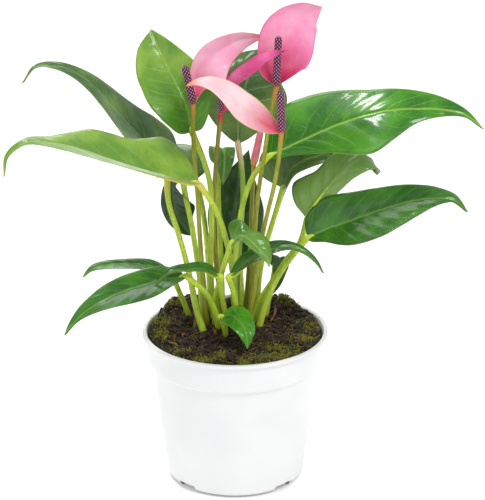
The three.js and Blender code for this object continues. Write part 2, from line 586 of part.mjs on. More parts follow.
// ---------------------------------------------------------------- assembly
function makePlant() {
  const plant = new THREE.Group();
  const rooted = [];

  for (const leaf of LEAVES) {
    const stalk = growStalk(leaf.stalk, STALK_FOOT_RADIUS, STALK_RADIUS, KNEE_RADIUS);
    const curve = bladeCurve(stalk, leaf);
    const stations = curve.getLength() > LONG_BLADE * PLANT_SCALE ? 10 : 7;
    addPiece(plant, `${leaf.name}_stalk`, stalk.geometry, STALK_GREEN);
    addPiece(plant, `${leaf.name}_leaf`, bladeAlong(curve, leaf, BLADE_THICKNESS, stations), leaf.finish);
    rooted.push(stalk.socket);
  }

  for (const flower of FLOWERS) {
    const foot = FLOWER_STEM_FOOT_RADIUS;
    const stem = growStalk(flower.stem, foot, FLOWER_STEM_RADIUS, FLOWER_STEM_RADIUS + 0.2);
    const spathe = bladeCurve(stem, flower, flower.from);
    const above = stem.curve.getPointAt(1).addScaledVector(stem.curve.getTangentAt(1), SPADIX_LIFT);
    addPiece(plant, `${flower.name}_flower_stem`, stem.geometry, FLOWER_STEM_OLIVE);
    const spadix = spadixAlong(flower.spadix, flower.spadixRadius ?? SPADIX_RADIUS, above);
    addPiece(plant, `${flower.name}_spadix`, spadix, SPADIX_PURPLE);
    addPiece(plant, `${flower.name}_spathe`, bladeAlong(spathe, flower, SPATHE_THICKNESS, 9), flower.finish);
    rooted.push(stem.socket);
  }

  const budStem = growStalk(BUD.stem, FLOWER_STEM_FOOT_RADIUS, FLOWER_STEM_RADIUS, FLOWER_STEM_RADIUS);
  const budFoot = budStem.curve.getPointAt(1).addScaledVector(budStem.curve.getTangentAt(1), GAP);
  addPiece(plant, "bud_stem", budStem.geometry, FLOWER_STEM_OLIVE);
  addPiece(plant, "rolled_bud", spadixAlong(BUD.bud, BUD.radius, budFoot), SPATHE_HOT);
  rooted.push(budStem.socket);

  for (const sheath of SHEATHS) {
    const scale = growStalk(sheath.stalk, sheath.radius, 0.8 * sheath.radius, 0.3 * sheath.radius);
    addPiece(plant, `${sheath.name}_old_sheath`, scale.geometry, SHEATH_BROWN);
    rooted.push(scale.socket);
  }
  return { plant, rooted };
}

const pottedAnthurium = new THREE.Group();
const { plant, rooted } = makePlant();
plant.position.z = SOIL_LEVEL;
pottedAnthurium.add(plant);
addPiece(pottedAnthurium, "pot", makePot(), POT_WHITE);
const sockets = rooted.map((socket) => socket.translate(0, 0, SOIL_LEVEL));
addPiece(pottedAnthurium, "soil", makeSoil(sockets), SOIL_BROWN);

export default pottedAnthurium;
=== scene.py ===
"""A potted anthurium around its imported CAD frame. Metres, +Z up, -Y towards the camera."""
import math
import random

import bpy
import numpy as np
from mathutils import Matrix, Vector, noise
from mathutils.bvhtree import BVHTree


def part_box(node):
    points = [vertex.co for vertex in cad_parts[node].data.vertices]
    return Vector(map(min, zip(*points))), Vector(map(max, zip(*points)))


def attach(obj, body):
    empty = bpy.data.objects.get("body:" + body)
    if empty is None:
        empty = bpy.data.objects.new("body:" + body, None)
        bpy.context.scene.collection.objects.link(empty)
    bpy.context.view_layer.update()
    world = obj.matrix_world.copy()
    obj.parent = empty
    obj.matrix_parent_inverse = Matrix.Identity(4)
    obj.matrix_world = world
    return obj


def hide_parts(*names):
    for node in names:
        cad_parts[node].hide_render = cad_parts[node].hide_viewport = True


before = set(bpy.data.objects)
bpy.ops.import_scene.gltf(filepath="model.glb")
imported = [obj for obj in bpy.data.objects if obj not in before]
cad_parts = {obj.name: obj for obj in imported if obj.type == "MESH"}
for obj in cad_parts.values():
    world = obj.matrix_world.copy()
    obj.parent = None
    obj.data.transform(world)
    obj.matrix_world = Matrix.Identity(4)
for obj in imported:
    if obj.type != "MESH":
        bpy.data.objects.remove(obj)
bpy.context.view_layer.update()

MM = 0.001
ROOT = "root"


# ---------------------------------------------------------------- materials
def rgb(red, green, blue):
    """A display colour, 0 to 255, as Blender's linear one."""
    def linear(c):
        c /= 255
        return c / 12.92 if c <= 0.04045 else ((c + 0.055) / 1.055) ** 2.4
    return (linear(red), linear(green), linear(blue), 1.0)


class Look:
    """A procedural material that is built up from a few kinds of node."""

    def __init__(self, name, roughness, **shader):
        self.material = bpy.data.materials.new(name)
        self.material.use_nodes = True
        self.tree = self.material.node_tree
        self.shader = self.tree.nodes["Principled BSDF"]
        self.shader.inputs["Roughness"].default_value = roughness
        for key, value in shader.items():
            self.shader.inputs[key.replace("_", " ")].default_value = value

    def node(self, kind, inputs=(), **settings):
        made = self.tree.nodes.new(kind)
        for key, value in settings.items():
            setattr(made, key, value)
        for key, value in dict(inputs).items():
            self.feed(made.inputs[key], value)
        return made

    def feed(self, socket, value):
        if isinstance(value, bpy.types.NodeSocket):
            self.tree.links.new(value, socket)
        else:
            socket.default_value = value

    def math(self, operation, a, b=0.0, c=0.0):
        return self.node("ShaderNodeMath", {0: a, 1: b, 2: c}, operation=operation).outputs[0]

    def mix(self, share, a, b):
        inputs = {0: share, 6: a, 7: b}
        return self.node("ShaderNodeMix", inputs, data_type="RGBA").outputs[2]

    def ramp(self, value, low, high, to_low=0.0, to_high=1.0):
        inputs = {0: value, 1: low, 2: high, 3: to_low, 4: to_high}
        return self.node("ShaderNodeMapRange", inputs, interpolation_type="SMOOTHSTEP").outputs[0]

    def split(self, attribute):
        source = self.node("ShaderNodeAttribute", attribute_name=attribute).outputs["Vector"]
        return self.node("ShaderNodeSeparateXYZ", {0: source}).outputs

    def join(self, x, y, z):
        return self.node("ShaderNodeCombineXYZ", {0: x, 1: y, 2: z}).outputs[0]

    def place(self):
        return self.node("ShaderNodeTexCoord").outputs["Object"]

    def noise(self, scale, detail=3.0, vector=None, rough=0.5):
        inputs = {"Vector": vector or self.place(), "Scale": scale, "Detail": detail, "Roughness": rough}
        return self.node("ShaderNodeTexNoise", inputs).outputs[0]

    def cells(self, scale, vector=None, feature="DISTANCE_TO_EDGE"):
        inputs = {"Vector": vector or self.place(), "Scale": scale}
        return self.node("ShaderNodeTexVoronoi", inputs, feature=feature).outputs["Distance"]

    def line(self, value, at_every, width):
        """1 on lines a step apart along a value and 0 between them; width is a share of the step."""
        share = self.math("FRACT", self.math("DIVIDE", value, at_every))
        away = self.math("ABSOLUTE", self.math("SUBTRACT", share, 0.5))
        return self.ramp(away, 0.5 - width, 0.5)

    def colour(self, value):
        self.feed(self.shader.inputs["Base Color"], value)

    def roughness(self, value):
        self.feed(self.shader.inputs["Roughness"], value)

    def bump(self, height, strength, distance):
        inputs = {"Height": height, "Strength": strength, "Distance": distance}
        made = self.node("ShaderNodeBump", inputs)
        self.feed(self.shader.inputs["Normal"], made.outputs[0])


# ---------------------------------------------------------------- meshes
class Shape:
    """Gathers sheets of points, each with corner values, and makes them one mesh with shared points."""

    def __init__(self):
        self.points, self.values, self.faces, self.count = [], [], [], 0

    def sheet(self, points, values, flip=False):
        """points is rows by columns by 3; values the same, or rows by columns by 6."""
        rows, columns = points.shape[:2]
        index = self.count + np.arange(rows * columns).reshape(rows, columns)
        self.points.append(points.reshape(-1, 3))
        self.values.append(values.reshape(rows * columns, -1))
        self.count += rows * columns
        a, b = index[:-1, :-1], index[:-1, 1:]
        c, d = index[1:, 1:], index[1:, :-1]
        quads = np.stack([a, b, c, d], axis=-1).reshape(-1, 4)
        self.faces.extend((quads[:, ::-1] if flip else quads).tolist())

    def solid(self, points, faces, value):
        """A small closed solid with one value all over it."""
        self.points.append(points)
        self.values.append(np.tile(value, (len(points), 1)))
        self.faces.extend([[self.count + i for i in face] for face in faces])
        self.count += len(points)

    def build(self, name, material, sharp=None):
        points = np.concatenate(self.points)
        values = np.concatenate(self.values)
        _, first, same = np.unique(np.round(points, 7), axis=0, return_index=True, return_inverse=True)
        same = same.reshape(-1)
        kept, corners = [], []
        for face in self.faces:
            ids = [same[i] for i in face]
            use = [k for k in range(len(ids)) if ids[k] != ids[k - 1]]
            if len(set(ids)) > 2:
                kept.append([int(ids[k]) for k in use])
                corners.extend(face[k] for k in use)
        mesh = bpy.data.meshes.new(name)
        mesh.from_pydata(points[first].tolist(), [], kept)
        for part, label in enumerate(("place", "detail")):
            if values.shape[1] >= 3 * (part + 1):
                layer = mesh.attributes.new(label, "FLOAT_VECTOR", "CORNER")
                layer.data.foreach_set("vector", values[corners][:, 3 * part : 3 * part + 3].ravel())
        mesh.shade_smooth()
        if sharp:
            mesh.set_sharp_from_angle(angle=math.radians(sharp))
        mesh.materials.append(material)
        piece = bpy.data.objects.new(name, mesh)
        bpy.context.scene.collection.objects.link(piece)
        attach(piece, ROOT)
        return piece


def stand_for(piece, node):
    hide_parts(node)


def through(points, samples):
    """A smooth curve through rows of points, sampled at shares of the way along."""
    points = np.asarray(points, float)
    last = len(points) - 1
    padded = np.concatenate([2 * points[:1] - points[1:2], points, 2 * points[-1:] - points[-2:-1]])
    at = np.clip(np.asarray(samples, float) * last, 0, last)
    base = np.minimum(at.astype(int), last - 1)
    t = (at - base).reshape((-1,) + (1,) * (points.ndim - 1))
    p0, p1, p2, p3 = (padded[base + k] for k in range(4))
    bend = (2 * p0 - 5 * p1 + 4 * p2 - p3) * t**2 + (3 * (p1 - p2) + p3 - p0) * t**3
    return 0.5 * (2 * p1 + (p2 - p0) * t + bend)


def unit(vectors):
    return vectors / np.maximum(np.linalg.norm(vectors, axis=-1, keepdims=True), 1e-12)


# ---------------------------------------------------------------- the CAD solids' own rings
BAR_SIDES = 8  # points around a CAD bar
RING = 10  # points around a CAD blade
UPPER = (0, 9, 8, 7, 6)  # the columns of the upper side, from the left edge to the right


def welded(node):
    """A CAD node's points, with those in one place joined, and its triangles."""
    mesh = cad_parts[node].data
    mesh.calc_loop_triangles()
    points = np.array([v.co for v in mesh.vertices])
    keys = {}
    same = [keys.setdefault(tuple(np.round(p, 6)), len(keys)) for p in points]
    kept = np.zeros((len(keys), 3))
    kept[same] = points
    faces = [[same[i] for i in t.vertices] for t in mesh.loop_triangles]
    return kept, [f for f in faces if len(set(f)) == 3]


def levels_from(faces, start, count):
    """How many rings away from the start point every point is."""
    near = {}
    for face in faces:
        for i in face:
            near.setdefault(i, set()).update(face)
    level = np.full(count, -1)
    level[start] = 0
    edge = [start]
    while edge:
        following = sorted({j for i in edge for j in near[i] if level[j] < 0})
        for j in following:
            level[j] = level[edge[0]] + 1
        edge = following
    return level


def valence(faces, count):
    """How many faces meet at every point."""
    total = np.zeros(count, int)
    for face in faces:
        total[face] += 1
    return total


def bar_rings(node):
    """Centres and radii of a CAD bar's rings, from its lower end."""
    points, faces = welded(node)
    ends = np.nonzero(valence(faces, len(points)) == BAR_SIDES)[0]
    start = min(ends, key=lambda i: points[i][2])
    level = levels_from(faces, start, len(points))
    rings = [points[level == k] for k in range(1, level.max())]
    centres = np.array([ring.mean(0) for ring in rings])
    radii = np.array([np.linalg.norm(ring - c, axis=1).mean() for ring, c in zip(rings, centres)])
    return centres, radii


def blade_rings(node, base):
    """A CAD blade's stations by columns: column 0 is the left edge, 1 to 5 the underside, 6 the
    right edge and 7 to 9 the upper side. Both ends are stations with every column in one place."""
    points, faces = welded(node)
    poles = np.nonzero(valence(faces, len(points)) == RING)[0]
    pole = min(poles, key=lambda i: np.linalg.norm(points[i] - base))
    level = levels_from(faces, pole, len(points))
    following, below = {}, {}
    for face in faces:
        for k in range(3):
            x, y, d = face[k], face[(k + 1) % 3], face[(k + 2) % 3]
            if level[x] == level[y] and level[d] == level[x] + 1:
                following[y] = x
                below[x] = d
    column = int(np.nonzero(level == 1)[0][0])
    ring = [column]
    while len(ring) < RING:
        ring.append(following[ring[-1]])
    rows = [ring]
    for _ in range(level.max() - 2):
        rows.append([below[i] for i in rows[-1]])
    grid = points[np.array(rows)]
    apart = [np.linalg.norm(grid[:, k] - grid[:, (k + 6) % RING], axis=1).sum() for k in range(RING)]
    grid = np.roll(grid, -int(np.argmax(apart)), axis=1)
    tip = points[level == level.max()][:1]
    return np.concatenate([np.tile(points[pole], (1, RING, 1)), grid, np.tile(tip, (1, RING, 1))])


# ---------------------------------------------------------------- tubes
def tube(shape, path, radii, sides=14, dents=None):
    """A closed round bar. Its corner values are the share around, metres along and share along."""
    along = unit(np.gradient(path, axis=0))
    side = np.cross(along[0], (0.0, 1.0, 0.0) if abs(along[0][1]) < 0.9 else (1.0, 0.0, 0.0))
    frames = []
    for direction in along:
        side = unit(side - direction * side.dot(direction))
        frames.append((side, np.cross(direction, side)))
    one, two = (np.array([f[k] for f in frames])[:, None] for k in (0, 1))
    turn = np.linspace(0, 2 * math.pi, sides + 1)
    angle = turn[None, :, None]
    reach = np.repeat(radii[:, None], sides + 1, axis=1)
    lengths = np.concatenate([[0], np.cumsum(np.linalg.norm(np.diff(path, axis=0), axis=1))])
    if dents is not None:
        reach = reach + dents(turn[None, :], lengths[:, None])
    reach[:, -1] = reach[:, 0]
    around = np.cos(angle) * one + np.sin(angle) * two
    around[:, -1] = around[:, 0]
    points = path[:, None] + around * reach[..., None]
    ends = [np.tile(path[k], (1, sides + 1, 1)) for k in (0, -1)]
    points = np.concatenate([ends[0], points, ends[1]])
    lengths = np.concatenate([lengths[:1], lengths, lengths[-1:]])
    values = np.zeros(points.shape)
    values[..., 0] = turn / (2 * math.pi)
    values[..., 1] = lengths[:, None]
    values[..., 2] = lengths[:, None] / lengths[-1]
    shape.sheet(points, values)
    return shape


# ---------------------------------------------------------------- blades
ACROSS = 30
ALONG = 72
LEAF = 0.8 * MM


def blade_grid(node, foot):
    """The upper surface of a blade as a fine grid, and the way its upper side looks."""
    rings = blade_rings(node, foot)
    upper = rings[:, UPPER].copy()
    upper[0] = foot
    rows = through(upper, np.linspace(0, 1, ALONG) ** 0.92)
    spread = np.linspace(-1, 1, ACROSS + 1)
    v = -np.sign(spread) * np.abs(spread) ** 1.25
    grid = through(rows.transpose(1, 0, 2), (1 - v) / 2).transpose(1, 0, 2)
    normal = unit(np.cross(np.gradient(grid, axis=0), np.gradient(grid, axis=1)))
    outward = through((rings[:, 8] - rings[:, 3])[1:-1], np.linspace(0, 1, ALONG))
    if (normal * outward[:, None]).sum() < 0:
        normal = -normal
    normal[0], normal[-1] = normal[1], normal[-2]
    rib = grid[:, ACROSS // 2]
    length = np.concatenate([[0], np.cumsum(np.linalg.norm(np.diff(rib, axis=0), axis=1))])
    return grid, normal, v, length


def blade_piece(name, node, foot, style, seed):
    grid, normal, v, length = blade_grid(node, foot)
    draw = random.Random(seed)
    u = (length / length[-1])[:, None]
    side = v[None, :]
    width = np.linalg.norm(grid[:, 0] - grid[:, -1], axis=1)[:, None] / 2
    vein = style["veins"] * (u - style["rake"] * np.abs(side) ** 1.15) + 0.25 * (side > 0)
    ripple = np.zeros(grid.shape[:2])
    for k in range(3):
        wave, start = draw.uniform(5, 13), draw.uniform(0, 6)
        ripple += np.sin(wave * u + start + 2 * side) * style["ripple"] * MM / (k + 1)
    body = np.clip(8 * u, 0, 1) * np.clip(6 * (1 - u), 0, 1)
    lift = ripple * np.abs(side) ** 2.5 * body
    away = np.abs(np.mod(vein, 1) - 0.5)
    lift += style["quilt"] * MM * (0.5 - away) * body * np.clip(4 * (1 - np.abs(side)), 0, 1)
    lift -= style["groove"] * MM * np.exp(-((side * width / (1.1 * MM)) ** 2)) * np.clip(12 * u, 0, 1)
    top = grid + normal * lift[..., None]
    thick = LEAF * (1 - np.abs(side) ** 5) + 0 * u
    keel = style["keel"] * MM * (1 - u) ** 0.7 * np.exp(-((side * width / (1.3 * MM)) ** 2))
    low = top - normal * (thick + keel)[..., None]
    low[:, 0], low[:, -1], low[0], low[-1] = top[:, 0], top[:, -1], top[0], top[-1]
    values = np.zeros(grid.shape[:2] + (6,))
    values[..., 0] = side
    values[..., 1] = u
    values[..., 3] = vein
    values[..., 4] = side * width
    values[..., 5] = length[:, None]
    shape = Shape()
    order = (np.cross(np.gradient(grid, axis=0), np.gradient(grid, axis=1)) * normal).sum() > 0
    under = values.copy()
    under[..., 2] = 1
    shape.sheet(top, values, flip=order)
    shape.sheet(low, under, flip=not order)
    piece = shape.build(name, style["look"].material)
    stand_for(piece, node)
    return grid, normal, low


# ---------------------------------------------------------------- looks of the plant
def leaf_look(name, light, dark, vein, rim, under, heart=None, tip=None, gloss=0.34, veins=0.34, rib=0.5):
    look = Look(name, gloss, Specular_IOR_Level=0.35, Coat_Weight=0.4, Coat_Roughness=0.08)
    side, along, below = look.split("place")
    count, across, _ = look.split("detail")
    patches = look.ramp(look.noise(42.0, 4.0), 0.36, 0.64)
    colour = look.mix(patches, dark, light)
    if heart:
        colour = look.mix(look.ramp(along, 0.75, 0.1, 0.0, 0.85), colour, heart)
    edge = look.math("ABSOLUTE", side)
    wavy = look.math("ADD", count, look.math("MULTIPLY", look.noise(90.0, 2.0), 0.35))
    lateral = look.line(wavy, 1.0, 0.06)
    lateral = look.math("MULTIPLY", lateral, look.ramp(edge, 1.0, 0.55, 0.15, 1.0))
    minor = look.math("MULTIPLY", look.line(wavy, 0.5, 0.045), 0.35)
    net = look.ramp(look.cells(430.0), 0.055, 0.0, 0.0, 0.3)
    midrib = look.ramp(look.math("ABSOLUTE", across), 1.1 * MM, 0.4 * MM)
    margin_vein = look.ramp(look.math("ABSOLUTE", look.math("SUBTRACT", edge, 0.86)), 0.03, 0.0, 0.0, 0.5)
    branches = look.math("MAXIMUM", lateral, minor)
    drawn = look.math("MAXIMUM", branches, look.math("MAXIMUM", net, margin_vein))
    colour = look.mix(look.math("MULTIPLY", drawn, veins), colour, vein)
    colour = look.mix(look.math("MULTIPLY", midrib, rib), colour, vein)
    colour = look.mix(look.ramp(edge, 0.96, 0.995, 0.0, 0.8), colour, rim)
    pale = look.mix(look.math("MULTIPLY", drawn, 0.6), under, look_darker(under, 0.72))
    pale = look.mix(look.ramp(look.noise(60.0, 3.0), 0.3, 0.7, 0.0, 0.25), pale, look_darker(under, 0.8))
    colour = look.mix(below, colour, pale)
    if tip:
        colour = look.mix(look.ramp(along, 0.93, 1.0), colour, tip)
    look.colour(colour)
    shine = look.ramp(look.noise(70.0, 3.0), 0.3, 0.7, gloss - 0.06, gloss + 0.1)
    look.roughness(look.math("ADD", shine, look.math("MULTIPLY", below, 0.16)))
    relief = look.math("MULTIPLY", look.math("ADD", look.math("MAXIMUM", lateral, midrib), net), -1.0)
    relief = look.math("ADD", relief, look.math("MULTIPLY", look.noise(900.0, 2.0), 0.25))
    look.bump(relief, 0.5, 0.35 * MM)
    return look


def look_darker(colour, share):
    return tuple(c * share for c in colour[:3]) + (1.0,)


def spathe_look(name, main, pale, heart, tip, rim, under, reach=0.6):
    look = Look(name, 0.3, Specular_IOR_Level=0.35, Coat_Weight=0.15, Coat_Roughness=0.12)
    side, along, below = look.split("place")
    edge = look.math("ABSOLUTE", side)
    colour = look.mix(look.ramp(look.noise(48.0, 4.0), 0.34, 0.66), main, pale)
    drift = look.math("ADD", side, look.math("MULTIPLY", look.noise(80.0, 2.0), 0.12))
    streak = look.line(drift, 0.105, 0.16)
    thread = look.line(drift, 0.035, 0.25)
    lines = look.math("MAXIMUM", streak, look.math("MULTIPLY", thread, 0.5))
    colour = look.mix(look.math("MULTIPLY", lines, 0.3), colour, look_darker(main, 0.8))
    wander = look.math("ADD", along, look.math("MULTIPLY", look.noise(120.0, 3.0), 0.16))
    near = look.ramp(look.math("ADD", wander, look.math("MULTIPLY", edge, 0.1)), reach, 0.16, 0.0, 0.95)
    colour = look.mix(near, colour, heart)
    colour = look.mix(look.ramp(along, 0.82, 1.0), colour, tip)
    colour = look.mix(look.ramp(edge, 0.86, 1.0, 0.0, 0.85), colour, rim)
    colour = look.mix(look.math("MULTIPLY", below, 0.7), colour, under)
    look.colour(colour)
    look.roughness(look.ramp(look.noise(90.0, 3.0), 0.3, 0.7, 0.24, 0.4))
    grain = look.math("MULTIPLY", look.noise(800.0), 0.3)
    relief = look.math("ADD", look.math("MULTIPLY", lines, -1.0), grain)
    look.bump(relief, 0.4, 0.3 * MM)
    return look


def stem_look(name, body, streak, knee, foot, blush=0.0):
    """blush is how far down from the top the colour of the knee reaches."""
    look = Look(name, 0.42, IOR=1.42, Coat_Weight=0.08, Coat_Roughness=0.3)
    share = look.split("place")[2]
    x, y, z = look.node("ShaderNodeSeparateXYZ", {0: look.place()}).outputs
    fibres = look.noise(1.0, 3.0, look.join(
        look.math("MULTIPLY", x, 1300.0), look.math("MULTIPLY", y, 1300.0), look.math("MULTIPLY", z, 60.0)))
    patches = look.noise(75.0, 3.0)
    colour = look.mix(look.ramp(fibres, 0.35, 0.65, 0.0, 0.7), body, streak)
    colour = look.mix(look.ramp(patches, 0.4, 0.7, 0.0, 0.45), colour, look_darker(streak, 0.85))
    top = look.ramp(look.math("ADD", share, look.math("MULTIPLY", patches, 0.06)), 0.965 - blush, 1.02)
    colour = look.mix(top, colour, knee)
    low = look.ramp(look.math("ADD", share, look.math("MULTIPLY", patches, 0.12)), 0.2, 0.09)
    colour = look.mix(look.math("MULTIPLY", low, 0.8), colour, foot)
    dots = look.ramp(look.cells(520.0, feature="F1"), 0.2, 0.08, 0.0, 0.35)
    look.colour(look.mix(dots, colour, look_darker(foot, 0.9)))
    look.roughness(look.ramp(patches, 0.3, 0.7, 0.34, 0.5))
    look.bump(look.math("SUBTRACT", fibres, look.math("MULTIPLY", dots, 0.6)), 0.35, 0.25 * MM)
    return look


SPIRALS = 7
SPIRAL_STEP = 2.4 * MM


def spadix_look():
    look = Look("spadix_skin", 0.5, IOR=1.4)
    around, reach, share = look.split("place")
    turns = look.math("MULTIPLY", around, float(SPIRALS))
    rise = look.math("DIVIDE", reach, SPIRAL_STEP)
    away = []
    for way in ("ADD", "SUBTRACT"):
        part = look.math("FRACT", look.math(way, turns, rise))
        away.append(look.math("POWER", look.math("SUBTRACT", part, 0.5), 2.0))
    distance = look.math("SQRT", look.math("ADD", *away))
    dot = look.ramp(distance, 0.31, 0.21)
    gap = look.ramp(distance, 0.44, 0.6)
    skin = look.mix(look.ramp(look.noise(160.0, 3.0), 0.3, 0.7), rgb(74, 20, 58), rgb(94, 32, 68))
    skin = look.mix(gap, skin, rgb(44, 10, 38))
    skin = look.mix(dot, skin, rgb(212, 150, 182))
    look.colour(look.mix(look.ramp(share, 0.1, 0.0, 0.0, 0.6), skin, rgb(190, 70, 80)))
    look.roughness(look.ramp(dot, 0.0, 1.0, 0.42, 0.62))
    look.bump(look.math("SUBTRACT", dot, gap), 0.6, 0.3 * MM)
    return look


def bud_look():
    look = Look("bud_skin", 0.35, Coat_Weight=0.15, Coat_Roughness=0.25)
    around, _, share = look.split("place")
    fold = look.line(look.math("ADD", around, look.math("MULTIPLY", share, 0.7)), 1.0, 0.05)
    base = look.mix(look.ramp(look.noise(120.0, 3.0), 0.3, 0.7), rgb(222, 96, 120), rgb(240, 140, 152))
    threads = look.line(look.math("ADD", around, look.math("MULTIPLY", look.noise(70.0), 0.1)), 0.07, 0.25)
    base = look.mix(look.math("MULTIPLY", threads, 0.3), base, rgb(196, 60, 96))
    base = look.mix(look.ramp(share, 0.25, 0.0), base, rgb(205, 150, 70))
    look.colour(look.mix(fold, base, rgb(190, 50, 90)))
    look.bump(look.math("ADD", look.math("MULTIPLY", fold, -1.0), threads), 0.5, 0.3 * MM)
    return look


def sheath_look():
    look = Look("dry_sheath", 0.85)
    x, y, z = look.node("ShaderNodeSeparateXYZ", {0: look.place()}).outputs
    fibres = look.noise(1.0, 4.0, look.join(
        look.math("MULTIPLY", x, 1500.0), look.math("MULTIPLY", y, 1500.0), look.math("MULTIPLY", z, 90.0)))
    colour = look.mix(look.ramp(fibres, 0.3, 0.7), rgb(92, 58, 34), rgb(186, 140, 92))
    look.colour(look.mix(look.ramp(look.noise(150.0), 0.4, 0.7), colour, rgb(120, 84, 50)))
    look.bump(fibres, 0.8, 0.4 * MM)
    return look


def speckled_look(name, scale, darkest, middle, lightest, roughness=0.9):
    look = Look(name, roughness)
    grains = look.noise(scale, 6.0, rough=0.7)
    colour = look.mix(look.ramp(grains, 0.35, 0.6), darkest, middle)
    colour = look.mix(look.ramp(look.noise(scale * 2.3, 4.0), 0.58, 0.75), colour, lightest)
    look.colour(colour)
    look.roughness(look.ramp(grains, 0.3, 0.7, roughness - 0.15, roughness))
    look.bump(look.math("ADD", grains, look.cells(scale * 2.0)), 0.9, 0.6 * MM)
    return look


def pot_look():
    look = Look("pot_plastic", 0.36, IOR=1.46, Coat_Weight=0.1, Coat_Roughness=0.3)
    cloud = look.noise(14.0, 3.0)
    colour = look.mix(look.ramp(cloud, 0.35, 0.65), rgb(228, 229, 230), rgb(236, 237, 237))
    scuffs = look.ramp(look.noise(55.0, 5.0, rough=0.75), 0.66, 0.8, 0.0, 0.35)
    x, y, z = look.node("ShaderNodeSeparateXYZ", {0: look.place()}).outputs
    radius = look.math("SQRT", look.math("ADD", look.math("MULTIPLY", x, x), look.math("MULTIPLY", y, y)))
    # Painted shade: inside the drain channels and under the foot, the plastic is coloured dark grey-brown to
    # stand in for the shade in these recesses.
    under = look.math("MULTIPLY", look.ramp(radius, 43.6 * MM, 42.8 * MM), look.ramp(z, 5.0 * MM, 4.7 * MM))
    worn = look.mix(scuffs, colour, rgb(230, 230, 229))
    look.colour(look.mix(under, worn, rgb(112, 110, 106)))
    look.roughness(look.ramp(look.noise(30.0, 4.0), 0.3, 0.7, 0.3, 0.44))
    look.bump(look.noise(1600.0, 2.0), 0.08, 0.1 * MM)
    return look


GREY = dict(light=rgb(104, 138, 62), dark=rgb(60, 100, 42), vein=rgb(140, 172, 108), rim=rgb(165, 190, 110),
            under=rgb(112, 148, 72), gloss=0.34)
# SHADE is a darker copy of the leaf colours, used for the rear leaves: painted shade.
SHADE = dict(light=rgb(44, 92, 12), dark=rgb(18, 58, 2), vein=rgb(70, 112, 34), rim=rgb(92, 132, 42),
             under=rgb(56, 100, 22), gloss=0.4)
DEEP = dict(light=rgb(54, 120, 14), dark=rgb(22, 86, 2), vein=rgb(120, 166, 62), rim=rgb(170, 200, 90),
            under=rgb(104, 150, 44), gloss=0.3, rib=0.55)
LIME = dict(light=rgb(130, 170, 56), dark=rgb(92, 142, 32), vein=rgb(156, 192, 92), rim=rgb(190, 214, 110),
            under=rgb(134, 172, 74), gloss=0.3, rib=0.25)
BRIGHT = dict(light=rgb(68, 146, 4), dark=rgb(28, 106, 0), vein=rgb(140, 188, 58), rim=rgb(180, 210, 90),
              under=rgb(110, 162, 44), gloss=0.26, rib=0.8)
BROWN_TIP = rgb(150, 110, 60)

LEAF_LOOKS = {
    "grey": leaf_look("leaf_grey_green", **GREY),
    "grey_tip": leaf_look("leaf_grey_green_tip", tip=BROWN_TIP, **GREY),
    "deep": leaf_look("leaf_deep_green", **DEEP),
    "shade": leaf_look("leaf_shaded_green", **SHADE),
    "lime": leaf_look("leaf_lime_green", heart=rgb(56, 128, 4), **LIME),
    "lime_tip": leaf_look("leaf_lime_green_tip", tip=rgb(196, 190, 120), **LIME),
    "bright": leaf_look("leaf_bright_green", **BRIGHT),
    "fresh": leaf_look("leaf_fresh_green", **{**BRIGHT, "rib": 0.25}),
    "middle": leaf_look("leaf_middle_green", light=rgb(94, 142, 40), dark=rgb(60, 112, 20),
                        vein=rgb(146, 184, 96), rim=rgb(178, 204, 116), under=rgb(126, 166, 78)),
    "turned": leaf_look("leaf_turned_over", light=rgb(108, 156, 50), dark=rgb(80, 130, 32),
                        vein=rgb(58, 96, 44), rim=rgb(180, 196, 120), under=rgb(128, 166, 84), tip=rgb(150, 130, 70), gloss=0.42),
}
SPATHE_LOOKS = {
    "left": spathe_look("spathe_rose", rgb(250, 164, 200), rgb(253, 202, 222), rgb(226, 66, 106),
                        rgb(246, 164, 130), rgb(252, 198, 190), rgb(244, 150, 184)),
    "front": spathe_look("spathe_blush", rgb(252, 206, 214), rgb(254, 226, 230), rgb(222, 54, 92),
                         rgb(238, 130, 90), rgb(232, 214, 150), rgb(246, 196, 200)),
    "top": spathe_look("spathe_pink", rgb(250, 136, 186), rgb(254, 184, 214), rgb(214, 20, 86),
                       rgb(250, 166, 196), rgb(236, 130, 176), rgb(244, 140, 180), reach=0.72),
    "rear": spathe_look("spathe_magenta", rgb(250, 88, 164), rgb(254, 136, 198), rgb(206, 40, 96),
                        rgb(140, 10, 66), rgb(226, 70, 140), rgb(240, 96, 160)),
}
STALK = stem_look("stalk_skin", rgb(204, 222, 78), rgb(142, 182, 42), rgb(190, 212, 62), rgb(104, 86, 40))
STALK_GOLD = stem_look("stalk_skin_golden", rgb(200, 218, 78), rgb(146, 178, 46), rgb(206, 198, 76),
                       rgb(116, 92, 46), blush=0.08)
STALK_CREAM = stem_look("stalk_skin_cream", rgb(166, 198, 84), rgb(130, 170, 56), rgb(222, 192, 156),
                        rgb(112, 92, 44), blush=0.1)
FLOWER_STEM = stem_look("flower_stem_skin", rgb(168, 168, 48), rgb(122, 130, 24), rgb(196, 132, 58),
                        rgb(108, 80, 40), blush=0.02)
FLOWER_STEM_RED = stem_look("flower_stem_skin_red", rgb(158, 146, 56), rgb(124, 120, 38), rgb(190, 52, 66),
                            rgb(108, 80, 40), blush=-0.01)


# ---------------------------------------------------------------- leaves and flowers
def leaf_style(look, **changes):
    """veins is how many each half has and rake how far they lean to the tip; the rest are depths in mm."""
    style = {"look": LEAF_LOOKS[look], "veins": 9, "rake": 0.2}
    relief = {"ripple": 0.7, "quilt": 0.7, "groove": 0.5, "keel": 1.0}
    return {**style, **relief, **changes}


